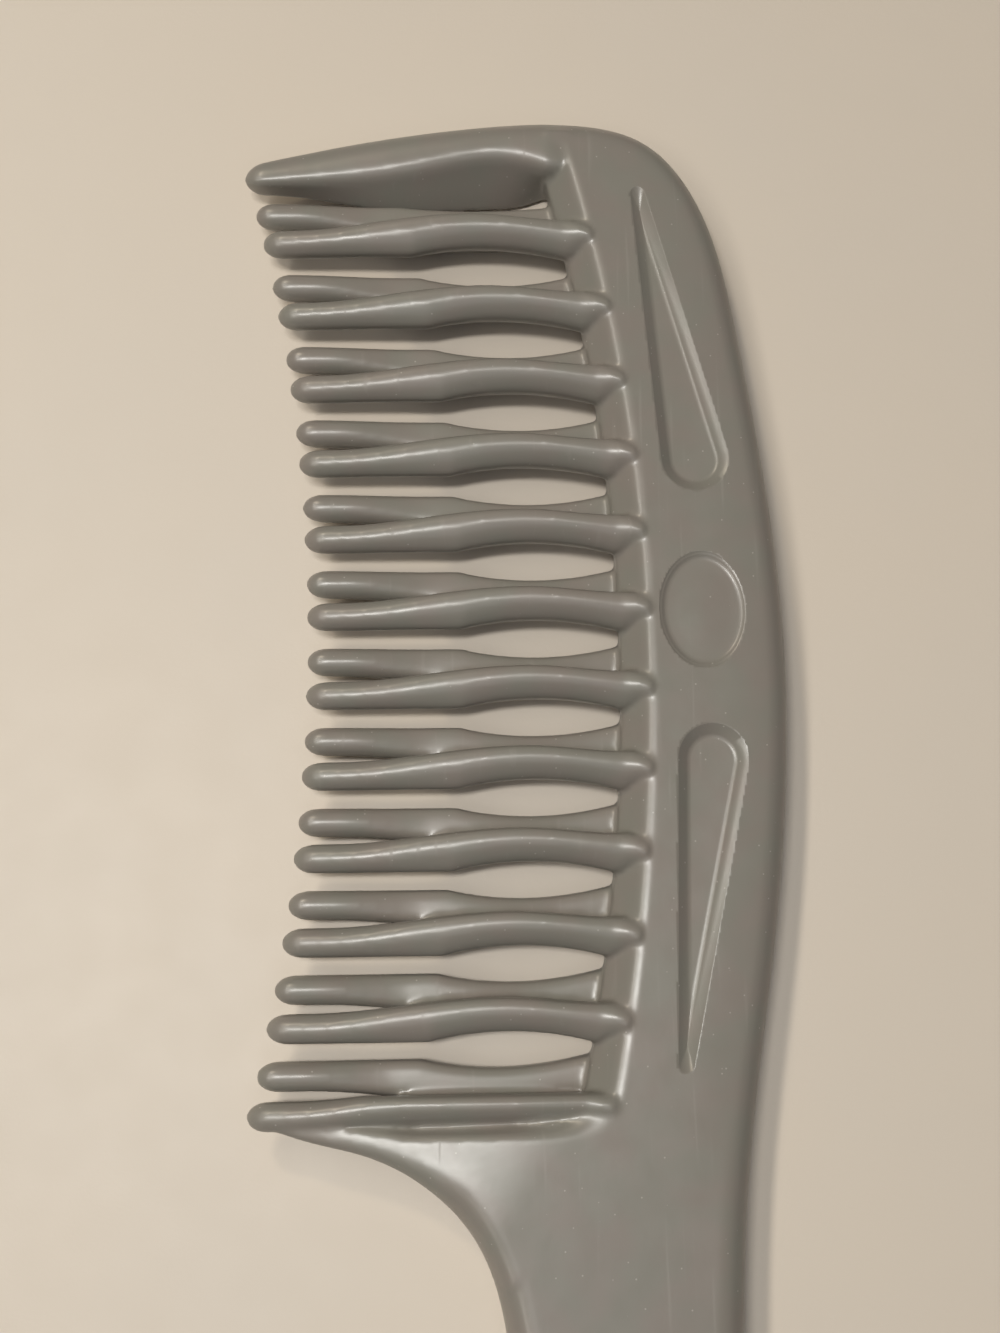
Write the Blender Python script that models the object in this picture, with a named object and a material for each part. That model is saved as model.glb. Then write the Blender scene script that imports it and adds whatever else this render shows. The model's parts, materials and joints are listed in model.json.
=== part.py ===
"""Handled detangling comb, moulded in one piece, with two staggered rows of curved teeth.

The comb lies on its back: +X is the spine side, +Y the toe, +Z the front face.
The origin is on the back face, in the middle of the spine. Sizes are in metres.
"""
import math

import bmesh
import bpy
import numpy as np
from mathutils import Matrix, Vector

# Tooth pattern: pairs of a front and a rear tooth, each the other turned over
PITCH = 0.0092
FRONT_TEETH = 11
PAIR_SPREAD = 0.00205
TOOTH_LENGTH = 0.0360
SLOT_WIDTH = 0.0018
SLOT_LENGTH = 0.0175
EYE_BULGE = 0.00115
EYE_END_WIDTH = 0.0012
TIP_WIDTH = 0.00325
TIP_TAPER = 0.0028
TIP_HALF_HEIGHT = 0.00155
TIP_RISE = 0.00045
CREST_AT_TIP = 0.0020
CREST_AT_ROOT = 0.00425
CROSSING_START = 0.0050
CROSSING_DONE = 0.0149
CROSSING_WIDEST = 0.0251
CROSSING_OVERLAP = 0.00105
CROSSING_AT_ROOT = 0.00030
PARTING = 0.0003

# Root noses, which run over the bevel onto the face of the spine
STUB = 0.00035
NOSE_REACH = 0.0034
NOSE_HALF_WIDTH = 0.0016
NOSE_PROUD = 0.00040

# Head and spine
ARC_Y = -0.0038
EDGE_X = -0.0110
EDGE_RADIUS = 0.230
TIP_RADIUS = 0.223
THICKNESS = 0.0084
SPINE_WIDTH = 0.0190
EDGE_WALL = 0.0023
BEVEL_WIDTH = 0.00276
BEVEL_ROUND = 0.0006
EDGE_ROUND = 0.0024

# Outer side of the toe: IN is from the tip or the spine's edges, RISE and DROP from the last tooth
TOE_TIP_RISE = 0.0006
TOE_SWELL_IN = 0.0114
TOE_SWELL_RISE = 0.0033
TOE_BACK_IN = 0.0100
TOE_BACK_RISE = 0.0056
TOE_CROWN_IN = 0.0027
TOE_CROWN_RISE = 0.0062
TOE_TURN_IN = 0.0123
TOE_TURN_RISE = 0.0042
SHOULDER_IN = 0.0073
SHOULDER_DROP = 0.0052
ARM_IN = 0.0040
ARM_DROP = 0.0192
FOREARM_IN = 0.0029
FOREARM_RISE = 0.0169

# Toe guard
TOE_DROP = 0.00130
TOE_CORNER_DROP = 0.0007
TOE_WALL_LEAN = 0.0020
GUARD_EDGE_ROUND = 0.0007
GUARD_TIP_HALF = 0.0016

# Heel guard, and its lower side from the tip to the neck
HEEL_CORNER_DROP = 0.0007
RIDGE_BULGE = 0.3
RIDGE_WIDTH = 0.0034
VALLEY_WIDTH = 0.0026
VALLEY_DEPTH = 0.0014
HEEL_WALL_LEAN = 0.0037
HEEL_TIP_DROP = 0.0003
HEEL_BELLY_IN = 0.0068
HEEL_BELLY_DROP = 0.0027
HEEL_SWEEP_IN = 0.0132
HEEL_SWEEP_DROP = 0.0044
HEEL_BEND_OUT = 0.0079
HEEL_BEND_DROP = 0.0080

# Neck, where the head becomes the handle
NECK_CUT = 0.0148
NECK_WIDTH = 0.0252
NECK_EDGE_ROUND = 0.0004
NECK_START = 0.0012
NECK_SHOULDER_OUT = 0.0010
NECK_SHOULDER_RISE = 0.0050
NECK_OUTER_DROP = 0.0085
NECK_FLARE_OUT = 0.0031
NECK_FLARE_RISE = 0.0016
NECK_TURN_OUT = 0.0006
NECK_TURN_DROP = 0.0045
NECK_FOOT_IN = 0.0008
NECK_FOOT_DROP = 0.0150

# Handle
HANDLE_LENGTH = 0.0880
HANDLE_X = -0.0128
HANDLE_END_X = -0.0138
WAIST_AT = 0.0380
WAIST_WIDTH = 0.0232
SWELL_PLACE = 0.55
SWELL_WIDTH = 0.0257
END_WIDTH = 0.0272
HANG_HOLE_RADIUS = 0.0040
HANG_HOLE_INSET = 0.0120
HANG_HOLE_CHAMFER = 0.0008

# Thumb scoops and the plain oval between them
SCOOP_INSET = 0.0101
SCOOP_NEAR = 0.0177
SCOOP_FAR = 0.0509
SCOOP_MIDDLE_Y = 0.0005
SCOOP_ROUND_RADIUS = 0.0040
SCOOP_POINT_RADIUS = 0.00085
SCOOP_DEPTH = 0.0010
SCOOP_WALL = 0.0006
BADGE_INSET = 0.0093
BADGE_HALF_WIDTH = 0.0049
BADGE_HALF_HEIGHT = 0.0066
BADGE_DEPTH = 0.0004

# How finely the rounded forms are faceted
TIP_RINGS = (0, 0.15, 0.45, 1)
TIP_END_SIZE = 0.22
SECTION_POINTS = 12
SLOT_RINGS = 4
EYE_RINGS = 6
GUARD_RINGS = 7
NOSE_RINGS = (0, 0.30, 0.62, 0.86, 0.96, 1)
NOSE_FULL = 0.86
TOE_RIBS = 8
HEAD_RIBS = 9
NECK_RIBS = 3
ROUND_STEPS = 12
SMOOTH_ANGLE = math.radians(35)

GREY = (0.300, 0.290, 0.268, 1.0)
ROUGHNESS = 0.32

HALF = THICKNESS / 2
HALF_HEAD = PITCH * (FRONT_TEETH + 1) / 2
HEEL = FRONT_TEETH + 1
NECK_Y = -HALF_HEAD - NECK_CUT
END_Y = NECK_Y - HANDLE_LENGTH
END_RADIUS = END_WIDTH / 2
END_CENTRE_Y = END_Y + END_RADIUS


def sag(radius, y):
    return radius - math.sqrt(radius * radius - (y - ARC_Y) ** 2)


def edge_x(y):
    """The spine's inner edge, between the roots of the teeth."""
    return EDGE_X - sag(EDGE_RADIUS, y)


def edge_normal(y):
    side = (y - ARC_Y) / EDGE_RADIUS
    return Vector((math.sqrt(1 - side * side), side))


def tip_x(y):
    """The line of the tooth tips."""
    return EDGE_X - TOOTH_LENGTH - sag(TIP_RADIUS, y)


def pair_y(pair):
    """Centre line of a pair; pair 0 is in the toe guard, and the last one in the heel guard."""
    return HALF_HEAD - pair * PITCH + PAIR_SPREAD


def blend(low, high, amount):
    return low + (high - low) * amount


def even(start, end, count):
    """The ends of count equal steps from start to end."""
    return [blend(start, end, i / count) for i in range(1, count + 1)]


def ease(amount):
    """A smooth step from 0 to 1."""
    amount = min(max(amount, 0.0), 1.0)
    return amount * amount * (3 - 2 * amount)


def bullet(distance, length):
    """The rounding of a tip: 0 at its end, 1 where it is full."""
    left = 1 - min(max(distance / length, 0.0), 1.0)
    return math.sqrt(1 - left * left)


def smooth_curve(points):
    """A natural cubic spline through the points, as a function of 0 to len(points) - 1."""
    nodes = np.array(points)
    count = len(nodes)
    steps = np.linalg.norm(np.diff(nodes, axis=0), axis=1)
    system = np.eye(count)
    bends = np.zeros((count, 2))
    for i in range(1, count - 1):
        system[i, i - 1:i + 2] = steps[i - 1], 2 * (steps[i - 1] + steps[i]), steps[i]
        rise = (nodes[i + 1] - nodes[i]) / steps[i] - (nodes[i] - nodes[i - 1]) / steps[i - 1]
        bends[i] = 6 * rise
    bends = np.linalg.solve(system, bends)

    def at(place):
        i = min(int(place), count - 2)
        after = place - i
        before = 1 - after
        pull = (before ** 3 - before) * bends[i] + (after ** 3 - after) * bends[i + 1]
        return before * nodes[i] + after * nodes[i + 1] + pull * steps[i] ** 2 / 6

    return at


def place_where(curve, axis, value, low, high):
    """The place on a curve, between low and high, where one coordinate has a value."""
    rising = curve(high)[axis] > curve(low)[axis]
    for _ in range(40):
        middle = (low + high) / 2
        if (curve(middle)[axis] < value) == rising:
            low = middle
        else:
            high = middle
    return (low + high) / 2


def grip_points(side):
    """Waist, swell and end of one side of the grip; side is 1 on the spine's side, else -1."""
    waist_y = NECK_Y - WAIST_AT
    swell_x = blend(HANDLE_X, HANDLE_END_X, SWELL_PLACE)
    return [
        (HANDLE_X + side * WAIST_WIDTH / 2, waist_y),
        (swell_x + side * SWELL_WIDTH / 2, blend(waist_y, END_CENTRE_Y, SWELL_PLACE)),
        (HANDLE_END_X + side * END_RADIUS, END_CENTRE_Y),
    ]


def outer_points():
    """Toe tip, toe, corner, outer edge of the spine and neck, down to the handle's round end."""
    outer = EDGE_X + SPINE_WIDTH
    toe = tip_x(HALF_HEAD)
    corner = edge_x(HALF_HEAD)
    neck = HANDLE_X + NECK_WIDTH / 2
    return [
        (toe, HALF_HEAD + TOE_TIP_RISE),
        (toe + TOE_SWELL_IN, HALF_HEAD + TOE_SWELL_RISE),
        (corner - TOE_BACK_IN, HALF_HEAD + TOE_BACK_RISE),
        (corner + TOE_CROWN_IN, HALF_HEAD + TOE_CROWN_RISE),
        (corner + TOE_TURN_IN, HALF_HEAD + TOE_TURN_RISE),
        (outer - SHOULDER_IN, HALF_HEAD - SHOULDER_DROP),
        (outer - ARM_IN, HALF_HEAD - ARM_DROP),
        (outer, ARC_Y),
        (outer - FOREARM_IN, FOREARM_RISE - HALF_HEAD),
        (neck + NECK_SHOULDER_OUT, NECK_Y + NECK_SHOULDER_RISE),
        (neck, NECK_Y - NECK_OUTER_DROP),
    ] + grip_points(1)


def lower_points():
    """Lower side of the heel guard, from its tip down to the handle's round end."""
    tip = tip_x(-HALF_HEAD)
    left = HANDLE_X - NECK_WIDTH / 2
    return [
        (tip, -HALF_HEAD - HEEL_TIP_DROP),
        (tip + HEEL_BELLY_IN, -HALF_HEAD - HEEL_BELLY_DROP),
        (tip + HEEL_SWEEP_IN, -HALF_HEAD - HEEL_SWEEP_DROP),
        (left - HEEL_BEND_OUT, -HALF_HEAD - HEEL_BEND_DROP),
        (left - NECK_FLARE_OUT, NECK_Y + NECK_FLARE_RISE),
        (left - NECK_TURN_OUT, NECK_Y - NECK_TURN_DROP),
        (left + NECK_FOOT_IN, NECK_Y - NECK_FOOT_DROP),
    ] + grip_points(-1)


OUTER = smooth_curve(outer_points())
OUTER_CROWN = 3
OUTER_ARM = 6
OUTER_LAST = len(outer_points()) - 1
LOWER = smooth_curve(lower_points())
LOWER_BELLY = 1
LOWER_LAST = len(lower_points()) - 1


def outer_place_x(x):
    """Where the toe's outer side passes x, on its way up from the tip."""
    return place_where(OUTER, 0, x, 0, OUTER_CROWN + 0.5)


def outer_place_y(y):
    """Where the outer edge of the spine or handle passes y."""
    return place_where(OUTER, 1, y, OUTER_ARM - 1, OUTER_LAST)


def lower_place_y(y):
    """Where the lower side of the heel guard or handle passes y."""
    return place_where(LOWER, 1, y, LOWER_BELLY, LOWER_LAST)


def material(name):
    plastic = bpy.data.materials.new(name)
    plastic.use_nodes = True
    shader = plastic.node_tree.nodes["Principled BSDF"]
    shader.inputs["Base Color"].default_value = GREY
    shader.inputs["Roughness"].default_value = ROUGHNESS
    shader.inputs["Metallic"].default_value = 0.0
    return plastic


def collection(name):
    group = bpy.data.collections.new(name)
    bpy.context.scene.collection.children.link(group)
    return group


def add_object(name, shape, group, plastic=None):
    """Turn a bmesh, with its middle plane at z = 0, into an object that lies on its back."""
    bmesh.ops.translate(shape, verts=shape.verts, vec=(0, 0, HALF))
    bmesh.ops.recalc_face_normals(shape, faces=shape.faces)
    mesh = bpy.data.meshes.new(name)
    shape.to_mesh(mesh)
    shape.free()
    mesh.shade_smooth()
    mesh.set_sharp_from_angle(angle=SMOOTH_ANGLE)
    thing = bpy.data.objects.new(name, mesh)
    group.objects.link(thing)
    if plastic:
        mesh.materials.append(plastic)
    else:
        thing.hide_render = True
        thing.display_type = "WIRE"
    return thing


def loft(shape, rings):
    """Join rings of points into one closed body with flat ends."""
    loops = [[shape.verts.new(point) for point in ring] for ring in rings]
    for near, far in zip(loops, loops[1:]):
        for i, vert in enumerate(near):
            j = (i + 1) % len(near)
            shape.faces.new((vert, near[j], far[j], far[i]))
    shape.faces.new(list(reversed(loops[0])))
    shape.faces.new(loops[-1])


# Teeth

def outer_side(along):
    """Distance from the pair's centre line to a tooth's outer side: a slot, then an eye."""
    slot = (PITCH - SLOT_WIDTH) / 2
    if along <= SLOT_LENGTH:
        return slot
    eye = (along - SLOT_LENGTH) / (TOOTH_LENGTH - SLOT_LENGTH)
    end = (PITCH - EYE_END_WIDTH) / 2
    return blend(slot, end, eye) - EYE_BULGE * 4 * eye * (1 - eye)


def inner_side(along):
    """How far a tooth reaches past the pair's centre line, over its partner."""
    if along < CROSSING_WIDEST:
        tip = TIP_WIDTH - outer_side(0)
        share = (along - CROSSING_START) / (CROSSING_WIDEST - CROSSING_START)
        return blend(tip, CROSSING_OVERLAP, ease(share))
    share = (along - CROSSING_WIDEST) / (TOOTH_LENGTH - CROSSING_WIDEST)
    return blend(CROSSING_OVERLAP, CROSSING_AT_ROOT, ease(share))


def crest(along):
    return blend(CREST_AT_TIP, CREST_AT_ROOT, along / TOOTH_LENGTH)


def underside(along):
    """Bottom of a front tooth: under the middle plane at the tip, at the parting further in."""
    lifted = ease((along - CROSSING_START) / (CROSSING_DONE - CROSSING_START))
    return blend(TIP_RISE - TIP_HALF_HEIGHT, PARTING / 2, lifted)


def dome(outer, inner, top, bottom, square):
    """Section of a tooth as (across, up) points: round above, flatter below when square."""
    centre = (outer - inner) / 2
    half_width = (outer + inner) / 2
    middle = (top + bottom) / 2
    half_height = (top - bottom) / 2
    points = []
    for i in range(SECTION_POINTS):
        angle = math.tau * (i + 0.5) / SECTION_POINTS
        power = 1 if math.sin(angle) > 0 else 1 - square / 2
        across = math.copysign(abs(math.cos(angle)) ** power, math.cos(angle))
        up = math.copysign(abs(math.sin(angle)) ** power, math.sin(angle))
        points.append((centre + half_width * across, middle + half_height * up))
    return points


def tip_rings():
    """Distances from a tip to the rings that round it."""
    return [share * TIP_TAPER for share in TIP_RINGS]


def tip_size(along):
    """Size of a tooth's section near the tip, as a share of its full size."""
    return blend(TIP_END_SIZE, 1, bullet(along, TIP_TAPER))


def tooth(shape, pair, row):
    """One tooth; row is 1 in front and -1 at the rear, where it is turned over."""
    tip = tip_x(pair_y(pair) - row * PAIR_SPREAD)
    stations = tip_rings() + even(TIP_TAPER, SLOT_LENGTH, SLOT_RINGS)
    stations += even(SLOT_LENGTH, TOOTH_LENGTH, EYE_RINGS)
    rings = []
    for along in stations:
        size = tip_size(along)
        square = ease((along - CROSSING_START) / (SLOT_LENGTH - CROSSING_START))
        section = dome(outer_side(along), inner_side(along), crest(along), underside(along), square)
        ring = []
        for across, up in section:
            y = pair_y(pair) - row * blend(PAIR_SPREAD, across, size)
            root = edge_x(y) - STUB - PARTING
            ring.append((blend(tip, root, along / TOOTH_LENGTH), y, row * blend(TIP_RISE, up, size)))
        rings.append(ring)
    loft(shape, rings)


def nose(shape, pair, row):
    """The root of a tooth on the spine: it runs over the bevel and ends bluntly on the face."""
    wide = outer_side(TOOTH_LENGTH)
    lap = inner_side(TOOTH_LENGTH)
    middle = (wide - lap) / 2
    rings = []
    for share in NOSE_RINGS:
        reach = blend(-STUB, NOSE_REACH, share)
        grown = min(share / NOSE_FULL, 1)
        closed = bullet(1 - share, 1 - NOSE_FULL)
        half_width = NOSE_HALF_WIDTH * blend(0.65, 1, closed)
        outer = blend(wide, middle + half_width, math.sin(math.pi / 2 * grown))
        inner = blend(lap, half_width - middle, grown ** 3)
        top = blend(CREST_AT_ROOT, HALF + NOSE_PROUD * blend(0.4, 1, closed), math.sin(math.pi / 2 * grown))
        ring = []
        for across, up in dome(outer, inner, top, PARTING / 2, 1):
            y = pair_y(pair) - row * across
            ring.append((edge_x(y) + reach, y, row * up))
        rings.append(ring)
    loft(shape, rings)


# Head

def quarter(centre_out, centre_up, radius, steps=3):
    """Quarter of a circle as (out, up) points, from straight up to straight out."""
    points = []
    for i in range(steps + 1):
        angle = math.pi / 2 * (1 - i / steps)
        points.append((centre_out + radius * math.cos(angle), centre_up + radius * math.sin(angle)))
    return points


def rounded_edge(reach, half, radius):
    """Front half of a rounded outer edge, from the face to the side."""
    return quarter(reach - radius, half - radius, radius)


def both_faces(front):
    """Close a section that is alike in front and behind."""
    return front + [(out, -up) for out, up in reversed(front)]


def spine_section(reach, wall, bevel):
    """Section from the inner edge outwards: wall, bevel with a rounded brow, face, round edge."""
    brow = min(BEVEL_ROUND, 0.8 * bevel)
    fall = (HALF - wall) / bevel * brow
    front = [(0, wall), (bevel - brow, HALF - fall), (bevel, HALF - fall / 4), (bevel + brow, HALF)]
    return both_faces(front + rounded_edge(reach, HALF, EDGE_ROUND))


def along_rib(start, end, section):
    """Stand a section up on the line between two plan points."""
    start = Vector(start)
    way = (Vector(end) - start).normalized()
    return [(start.x + way.x * out, start.y + way.y * out, up) for out, up in section]


def toe_corner():
    y = HALF_HEAD - TOE_CORNER_DROP
    return (edge_x(y), y)


def heel_corner():
    y = pair_y(HEEL) - HEEL_CORNER_DROP
    return (edge_x(y), y)


def toe_ribs():
    """Ribs that fan round the toe's corner, from the toe guard to the arm."""
    wall = EDGE_WALL / 2
    x, y = toe_corner()
    start = outer_place_x(x)
    ribs = [((x, y), OUTER(start), HALF - GUARD_EDGE_ROUND, GUARD_EDGE_ROUND)]
    for share in even(0, 1, TOE_RIBS):
        near_y = blend(y, OUTER(OUTER_ARM)[1], share)
        near = Vector((edge_x(near_y), near_y))
        far = Vector(OUTER(blend(start, OUTER_ARM, share)))
        square = (far - near).normalized().dot(edge_normal(near_y))
        ribs.append((near, far, wall, BEVEL_WIDTH / max(square, 0.4)))
    return ribs


def head_ribs():
    """Ribs across the head, from the arm to the heel guard."""
    end = heel_corner()[1] + NECK_START
    ribs = []
    for y in even(OUTER(OUTER_ARM)[1], end, HEAD_RIBS):
        ribs.append(((edge_x(y), y), (OUTER(outer_place_y(y))[0], y), EDGE_WALL / 2, BEVEL_WIDTH))
    return ribs


def neck_ribs():
    """Ribs beside the heel guard, down to the handle."""
    x, y = heel_corner()
    foot = LOWER(lower_place_y(NECK_Y))
    ribs = []
    for share in [0] + even(0, 1, NECK_RIBS):
        near = (blend(x, foot[0], share) + PARTING, blend(y, NECK_Y + PARTING, share))
        far = (OUTER(outer_place_y(near[1]))[0], near[1])
        ribs.append((near, far, HALF - NECK_EDGE_ROUND, NECK_EDGE_ROUND))
    return ribs


def spine_body(shape):
    """From the toe guard round the toe's corner, down the head and across the neck."""
    rings = []
    for near, far, wall, bevel in toe_ribs() + head_ribs() + neck_ribs():
        reach = (Vector(far) - Vector(near)).length
        rings.append(along_rib(near, far, spine_section(reach, wall, bevel)))
    loft(shape, rings)


def toe_section(x, base, half, lean):
    """Section across the toe guard: a wall that leans, open to the front, and a round edge."""
    outline = OUTER(outer_place_x(x))[1]
    width = outline - base - lean
    lip = min(GUARD_EDGE_ROUND, 0.4 * width)
    section = [
        (base - lean + lip, -half),
        (base - lean, lip - half),
        (base + lean, half - lip),
        (base + lean + lip, half),
    ]
    section += both_faces(rounded_edge(outline, half, min(EDGE_ROUND, 0.45 * width, 0.8 * half)))
    return section, (base + outline) / 2


def toe_guard(shape):
    """The outermost tooth at the toe."""
    corner_x, corner_y = toe_corner()
    tip = tip_x(HALF_HEAD)
    reach = corner_x - PARTING - tip
    rings = []
    for along in tip_rings() + even(TIP_TAPER, reach, GUARD_RINGS):
        share = along / reach
        base = blend(HALF_HEAD - TOE_DROP, corner_y, share)
        half = blend(GUARD_TIP_HALF, HALF, share)
        lean = TOE_WALL_LEAN * math.sin(math.pi * ease((along - TIP_TAPER) / (reach - TIP_TAPER)))
        section, middle = toe_section(tip + along, base, half, lean)
        size = tip_size(along)
        rings.append([(tip + along, blend(middle, y, size), up * size) for y, up in section])
    loft(shape, rings)


def heel_section(reach, half, crest_up, fullness):
    """Section from the upper side down: ridge, valley, face, round edge and a wall that leans."""
    squeeze = min(1, reach / (1.35 * (RIDGE_WIDTH + VALLEY_WIDTH)))
    ridge = RIDGE_WIDTH * squeeze
    valley = VALLEY_WIDTH * squeeze
    depth = VALLEY_DEPTH * fullness
    lean = HEEL_WALL_LEAN * squeeze * fullness
    lip = min(GUARD_EDGE_ROUND, 0.2 * reach)
    top = 0.45 * ridge
    front = [(2 * top - out, up) for out, up in reversed(quarter(top, crest_up - top, top, 2))]
    front += [
        (0.80 * ridge, crest_up - depth / 3),
        (ridge + valley / 4, half - depth),
        (ridge + valley * 3 / 4, half - depth * 3 / 4),
        (ridge + valley, half),
    ]
    back = [(lean + lip, -half), (lean, lip - half)]
    return front + both_faces(rounded_edge(reach, half, min(EDGE_ROUND, 0.2 * reach, 0.8 * half))) + back


def heel_guard(shape):
    """The outermost tooth at the heel and the web that joins it to the neck."""
    tip = tip_x(-HALF_HEAD)
    corner_x, corner_y = heel_corner()
    neck = lower_place_y(NECK_Y)
    reach = corner_x - tip
    rings = []
    for along in tip_rings() + even(TIP_TAPER, reach, GUARD_RINGS):
        share = along / reach
        size = tip_size(along)
        upper = pair_y(HEEL) + inner_side(along) * RIDGE_BULGE
        upper = blend(upper, corner_y, ease((share - 0.7) / 0.3))
        lower = LOWER(neck * share ** 0.85)
        near = Vector((tip + along, blend(-HALF_HEAD, upper, size)))
        far = Vector((lower[0], blend(-HALF_HEAD, lower[1], size)))
        half = blend(GUARD_TIP_HALF, HALF, share)
        fullness = ease((share - 0.12) / 0.4) * ease((1 - share) / 0.15)
        section = heel_section((far - near).length, half, min(crest(along), half), fullness)
        rings.append(along_rib(near, far, [(out, up * size) for out, up in section]))
    loft(shape, rings)


# Scoops and oval

def teardrop(near, far, grow, up):
    """Outline of a scoop at one height: two arcs, joined by their tangents."""
    way = far - near
    big = SCOOP_ROUND_RADIUS + grow
    small = SCOOP_POINT_RADIUS + grow
    heading = math.atan2(way.y, way.x)
    turn = math.acos((big - small) / way.length)
    points = []
    for share in [0] + even(0, 1, ROUND_STEPS):
        angle = heading + blend(turn, math.tau - turn, share)
        points.append((near.x + big * math.cos(angle), near.y + big * math.sin(angle), up))
    for share in [0] + even(0, 1, ROUND_STEPS // 3):
        angle = heading + blend(-turn, turn, share)
        points.append((far.x + small * math.cos(angle), far.y + small * math.sin(angle), up))
    return points


def scoop(shape, way, face):
    """One thumb scoop, cut into a face; way is 1 towards the toe and -1 towards the heel."""
    near_y = SCOOP_MIDDLE_Y + way * SCOOP_NEAR
    far_y = SCOOP_MIDDLE_Y + way * SCOOP_FAR
    near = Vector((edge_x(near_y) + SCOOP_INSET, near_y))
    far = Vector((edge_x(far_y) + SCOOP_INSET, far_y))
    above = teardrop(near, far, SCOOP_WALL, face * (HALF + SCOOP_DEPTH))
    below = teardrop(near, far, -SCOOP_WALL, face * (HALF - SCOOP_DEPTH))
    loft(shape, [above, below])


def badge(shape):
    """A shallow plain oval in the front face, between the scoops."""
    oval = Matrix.Diagonal((BADGE_HALF_WIDTH, BADGE_HALF_HEIGHT, 1, 1))
    place = Matrix.Translation((edge_x(0) + BADGE_INSET, 0, HALF))
    bmesh.ops.create_cone(shape, cap_ends=True, segments=32, radius1=1, radius2=1,
                          depth=2 * BADGE_DEPTH, matrix=place @ oval)


# Handle

def handle_outline():
    """Outline of the handle, clockwise from above the neck on the spine's side."""
    above_neck = NECK_Y + 2 * EDGE_ROUND
    right = outer_place_y(above_neck)
    left = lower_place_y(above_neck)
    outline = [OUTER(blend(right, OUTER_LAST, i / ROUND_STEPS)) for i in range(ROUND_STEPS)]
    for share in [0] + even(0, 1, ROUND_STEPS):
        angle = -math.pi * share
        outline.append((HANDLE_END_X + END_RADIUS * math.cos(angle),
                        END_CENTRE_Y + END_RADIUS * math.sin(angle)))
    outline += [LOWER(place) for place in even(LOWER_LAST, left, ROUND_STEPS)]
    return outline


def handle_body(shape):
    """The grip: its outline with the long edges rounded, cut square at the neck."""
    base = shape.faces.new([shape.verts.new((x, y, -HALF)) for x, y in handle_outline()])
    grown = bmesh.ops.extrude_face_region(shape, geom=[base])["geom"]
    raised = [part for part in grown if isinstance(part, bmesh.types.BMVert)]
    bmesh.ops.translate(shape, verts=raised, vec=(0, 0, THICKNESS))
    rims = [edge for edge in shape.edges if abs(edge.verts[0].co.z - edge.verts[1].co.z) < HALF]
    bmesh.ops.bevel(shape, geom=rims, offset=EDGE_ROUND, segments=3, profile=0.5,
                    affect="EDGES", material=-1)
    everything = list(shape.verts) + list(shape.edges) + list(shape.faces)
    cut = bmesh.ops.bisect_plane(shape, geom=everything, plane_co=(0, NECK_Y - PARTING / 2, 0),
                                 plane_no=(0, 1, 0), clear_outer=True)
    rim = [part for part in cut["geom_cut"] if isinstance(part, bmesh.types.BMEdge)]
    bmesh.ops.holes_fill(shape, edges=rim, sides=0)


def hang_hole(shape):
    """A round hole through the end of the handle, with chamfered rims."""
    chamfer = HANG_HOLE_CHAMFER
    flare = HANG_HOLE_RADIUS + 2 * chamfer
    turned = [(-HALF - chamfer, flare), (chamfer - HALF, HANG_HOLE_RADIUS),
              (HALF - chamfer, HANG_HOLE_RADIUS), (HALF + chamfer, flare)]
    rings = []
    for up, radius in turned:
        ring = []
        for angle in even(0, math.tau, 2 * ROUND_STEPS):
            ring.append((HANDLE_END_X + radius * math.cos(angle),
                         END_Y + HANG_HOLE_INSET + radius * math.sin(angle), up))
        rings.append(ring)
    loft(shape, rings)


def cut_with(target, cutter, operation):
    step = target.modifiers.new(cutter.name, "BOOLEAN")
    step.operation = operation
    step.solver = "EXACT"
    step.object = cutter


def build(name, group, makers, plastic):
    """Make one object from a list of shape functions and what each is given."""
    shape = bmesh.new()
    for make, *given in makers:
        make(shape, *given)
    return add_object(name, shape, group, plastic)


def main():
    for thing in list(bpy.data.objects):
        bpy.data.objects.remove(thing)
    parts = collection("detangling_comb")
    cutters = collection("cutters")
    tooth_plastic = material("tooth_plastic")
    guard_plastic = material("guard_plastic")
    front = [(pair, 1) for pair in range(1, FRONT_TEETH + 1)]
    rear = [(pair, -1) for pair in range(1, FRONT_TEETH + 2)]
    for pair, row in front:
        build(f"front_tooth_{pair:02d}", parts, [(tooth, pair, row)], tooth_plastic)
    for pair, row in rear:
        build(f"rear_tooth_{pair:02d}", parts, [(tooth, pair, row)], tooth_plastic)
    build("toe_guard", parts, [(toe_guard,)], guard_plastic)
    build("heel_guard", parts, [(heel_guard,)], guard_plastic)
    spine = build("spine", parts, [(spine_body,)], material("spine_plastic"))
    noses = build("root_noses", cutters, [(nose, pair, row) for pair, row in front + rear], None)
    cut_with(spine, noses, "UNION")
    hollows = [(scoop, way, face) for way in (1, -1) for face in (1, -1)]
    cut_with(spine, build("scoops_and_oval", cutters, hollows + [(badge,)], None), "DIFFERENCE")
    handle = build("handle", parts, [(handle_body,)], material("handle_plastic"))
    cut_with(handle, build("hang_hole", cutters, [(hang_hole,)], None), "DIFFERENCE")


main()
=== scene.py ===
"""Looks of the handled detangling comb: one grey moulding that lies on a pale table.

The comb lies on its back: +X is the spine's side, +Y the toe, +Z the front. Sizes are in metres.
Its forms are made as overlapping bodies and fused into one skin with filleted inner corners, as
they leave the mould. The skin is then parted into the pieces of the CAD model.
"""
import json
import math

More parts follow.
